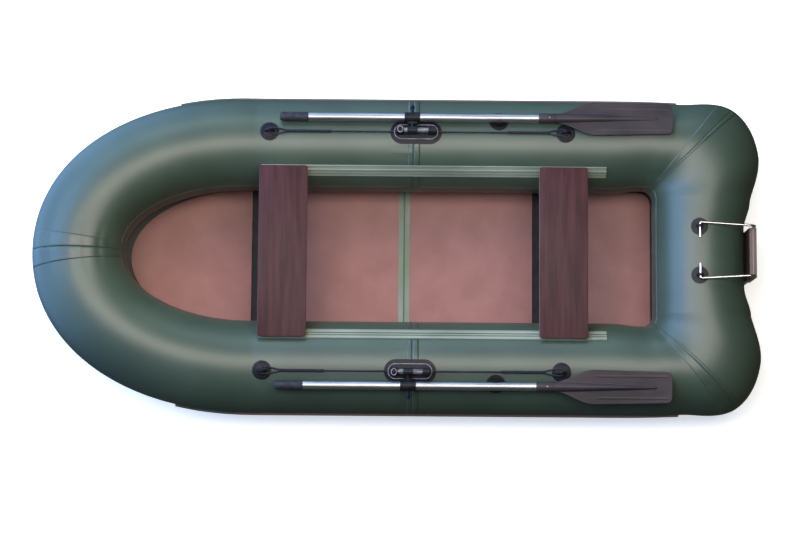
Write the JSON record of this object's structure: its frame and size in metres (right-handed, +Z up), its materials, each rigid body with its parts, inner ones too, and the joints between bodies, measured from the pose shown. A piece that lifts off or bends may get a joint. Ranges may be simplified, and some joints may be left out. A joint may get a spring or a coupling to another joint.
{
  "type": "inflatable boat",
  "caption": "Open rowing boat of inflated fabric tubes with a folding plywood floor, sliding seats, oars on hinged oarlocks and a slip-on motor bracket.",
  "frame": {"origin": "on the ground under the middle of the boat: half way along, on the centreline, at the underside of the tubes", "axes": "+X to the bow, +Y to port, +Z up"},
  "size_m": [2.9998, 1.322, 0.4499],
  "materials": {
    "hull_fabric": "satin coated fabric",
    "bottom_fabric": "matt coated fabric",
    "black_moulding": "satin moulded",
    "rub_strip": "satin extruded",
    "floor_plywood": "film-faced, mesh side",
    "seat_plywood": "film-faced, smooth side",
    "rail_plastic": "extruded",
    "green_tape": "coated fabric tape",
    "rope": "braided",
    "oar_tube": "satin anodised",
    "blade_plastic": "moulded",
    "grip_foam": "moulded",
    "bright_rod": "polished",
    "motor_plywood": "film-faced, varnished edges"
  },
  "bodies": {
    "hull": {"bottom_skin": "bottom_fabric", "bow_eye": "black_moulding", "bow_floor_board": "floor_plywood", "floor_fold_tape": "green_tape", "front_floor_board": "floor_plywood", "front_floor_hinge": "black_moulding", "motor_board": "motor_plywood", "port_air_valve": "black_moulding", "port_bow_tube": "hull_fabric", "port_bracket_rod": "bright_rod", "port_grab_line": "rope", "port_lower_bracket_eye": "black_moulding", "port_oar_rest": "black_moulding", "port_oarlock_bar": "black_moulding", "port_oarlock_pad": "black_moulding", "port_rope_eyes": "black_moulding", "port_rub_strip": "rub_strip", "port_seat_rail": "rail_plastic", "port_side_tube": "hull_fabric", "port_upper_bracket_eye": "black_moulding", "rear_floor_board": "floor_plywood", "rear_floor_hinge": "black_moulding", "starboard_air_valve": "black_moulding", "starboard_bow_tube": "hull_fabric", "starboard_bracket_rod": "bright_rod", "starboard_grab_line": "rope", "starboard_lower_bracket_eye": "black_moulding", "starboard_oar_rest": "black_moulding", "starboard_oarlock_bar": "black_moulding", "starboard_oarlock_pad": "black_moulding", "starboard_rope_eyes": "black_moulding", "starboard_rub_strip": "rub_strip", "starboard_seat_rail": "rail_plastic", "starboard_side_tube": "hull_fabric", "starboard_upper_bracket_eye": "black_moulding", "stern_floor_board": "floor_plywood", "stern_tube": "hull_fabric"},
    "front_seat": {"front_seat_board": "seat_plywood", "front_seat_slides": "rail_plastic"},
    "rear_seat": {"rear_seat_board": "seat_plywood", "rear_seat_slides": "rail_plastic"},
    "port_oar": {"port_oar_blade": "blade_plastic", "port_oar_collar": "black_moulding", "port_oar_grip": "grip_foam", "port_oar_lower_shaft": "oar_tube", "port_oar_shaft": "oar_tube", "port_oarlock_arm": "black_moulding"},
    "starboard_oar": {"starboard_oar_blade": "blade_plastic", "starboard_oar_collar": "black_moulding", "starboard_oar_grip": "grip_foam", "starboard_oar_lower_shaft": "oar_tube", "starboard_oar_shaft": "oar_tube", "starboard_oarlock_arm": "black_moulding"}
  },
  "joints": [
    {"name": "front_seat_slide", "type": "slide", "parent": "hull", "child": "front_seat", "axis": [1, 0, 0], "range_m": [-0.47, 0]},
    {"name": "rear_seat_slide", "type": "slide", "parent": "hull", "child": "rear_seat", "axis": [1, 0, 0], "range_m": [-0.07, 0.47]},
    {"name": "port_oar_hinge", "type": "hinge", "parent": "hull", "child": "port_oar", "pos_m": [-0.0464, 0.49348, 0.40687], "axis": [1, 0, 0], "range_deg": [0, 180]},
    {"name": "starboard_oar_hinge", "type": "hinge", "parent": "hull", "child": "starboard_oar", "pos_m": [-0.0564, -0.49348, 0.40687], "axis": [-1, 0, 0], "range_deg": [0, 180]}
  ]
}
